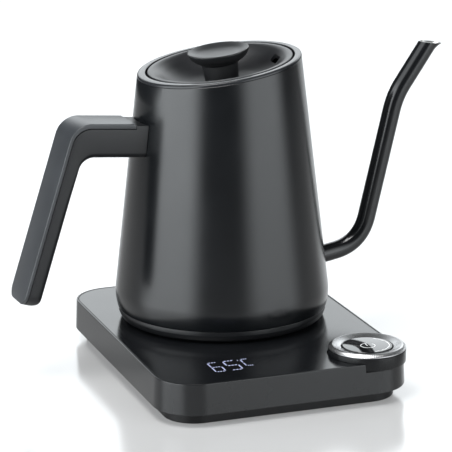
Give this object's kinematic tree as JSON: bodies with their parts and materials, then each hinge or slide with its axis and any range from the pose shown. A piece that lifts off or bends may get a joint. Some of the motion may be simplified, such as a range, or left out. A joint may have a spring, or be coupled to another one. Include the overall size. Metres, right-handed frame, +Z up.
{
  "type": "gooseneck kettle",
  "caption": "Electric gooseneck kettle with a leaning handle and lift-off lid, on a corded rectangular base with a temperature knob.",
  "frame": {"origin": "on the floor, below the middle of the whole object's bounding box", "axes": "+Z up, +X to the right along the front edge of the base, towards the spout, +Y from the knob's edge to the back"},
  "size_m": [0.2762, 0.2018, 0.1903],
  "materials": {
    "shell_coat": "satin black powder coat over stainless steel",
    "spout_coat": "semi-gloss black coat over stainless steel tube",
    "base_case": "satin black moulding",
    "base_panel": "smooth semi-gloss black panel",
    "tray_plastic": "dark moulding",
    "foot_rubber": "matte black rubber",
    "screw_steel": "plain steel",
    "circuit_board": "green laminate",
    "component_plastic": "grey moulding",
    "bare_aluminium": "bare",
    "display_cover": "white light guide",
    "contact_brass": "bare",
    "knob_plastic": "satin black moulding",
    "knob_metal": "turned, finely ribbed bevel",
    "button_gloss": "polished black",
    "tank_steel": "brushed stainless steel",
    "cup_plastic": "satin black moulding",
    "seal_silicone": "grey silicone",
    "handle_plastic": "fine-grained black moulding",
    "handle_cover_plastic": "satin black moulding",
    "collar_plastic": "satin black moulding",
    "lid_plastic": "satin black moulding",
    "lid_knob_plastic": "satin black moulding"
  },
  "bodies": {
    "base": {"base_housing": "base_case", "top_panel": "base_panel", "base_tray": "tray_plastic", "connector": "tray_plastic", "knob_seat": "tray_plastic", "foot_1": "foot_rubber", "foot_2": "foot_rubber", "foot_3": "foot_rubber", "foot_4": "foot_rubber", "tray_screw_1": "screw_steel", "tray_screw_2": "screw_steel", "tray_screw_3": "screw_steel", "tray_screw_4": "screw_steel", "main_board": "circuit_board", "relay": "component_plastic", "transformer": "component_plastic", "capacitor": "bare_aluminium", "mains_terminal": "component_plastic", "cord_gland": "foot_rubber", "display_board": "circuit_board", "led_matrix": "display_cover", "knob_board": "circuit_board", "encoder_body": "component_plastic", "tact_switch": "component_plastic"},
    "knob": {"knob_skirt": "knob_plastic", "knob_ring": "knob_metal", "encoder_shaft": "contact_brass"},
    "button": {"power_button": "button_gloss"},
    "swivel": {"contact_pin": "contact_brass"},
    "kettle": {"kettle_shell": "shell_coat", "clamp_ring": "screw_steel", "tank_seal": "seal_silicone", "heater_plate": "tank_steel", "heating_element": "bare_aluminium", "base_cup": "cup_plastic", "kettle_socket": "tray_plastic", "temperature_sensor": "tank_steel", "thermal_cutout_1": "component_plastic", "thermal_cutout_2": "component_plastic", "cup_screw_1": "screw_steel", "cup_screw_2": "screw_steel", "cup_screw_3": "screw_steel", "spout_tube": "spout_coat", "spout_nut": "screw_steel", "handle_bracket": "screw_steel", "handle_core": "handle_plastic", "handle_cover": "handle_cover_plastic", "handle_screw_1": "screw_steel", "handle_screw_2": "screw_steel", "rim_collar": "collar_plastic", "collar_gasket": "seal_silicone"},
    "lid": {"lid_pan": "lid_plastic", "lid_base": "lid_plastic", "lid_seal": "seal_silicone", "lid_knob": "lid_knob_plastic", "lid_screw": "screw_steel"}
  },
  "joints": [
    {"name": "kettle_swivel", "type": "hinge", "parent": "base", "child": "swivel", "pos_m": [-0.00822, 0.02173, 0.0255], "axis": [0, 0, 1], "continuous": true},
    {"name": "kettle_lift", "type": "slide", "parent": "swivel", "child": "kettle", "axis": [0, 0, 1], "range_m": [0, 0.12]},
    {"name": "lid_lift", "type": "slide", "parent": "kettle", "child": "lid", "axis": [-0.1301, -0.0068, 0.9915], "range_m": [0, 0.05]},
    {"name": "knob_turn", "type": "hinge", "parent": "base", "child": "knob", "pos_m": [0.04478, -0.07848, 0.0255], "axis": [0, 0, 1], "continuous": true},
    {"name": "power_button_press", "type": "slide", "parent": "base", "child": "button", "axis": [0, 0, -1], "range_m": [0, 0.0008], "stiffness_N_per_m": 1500, "springref_m": -0.0003}
  ]
}
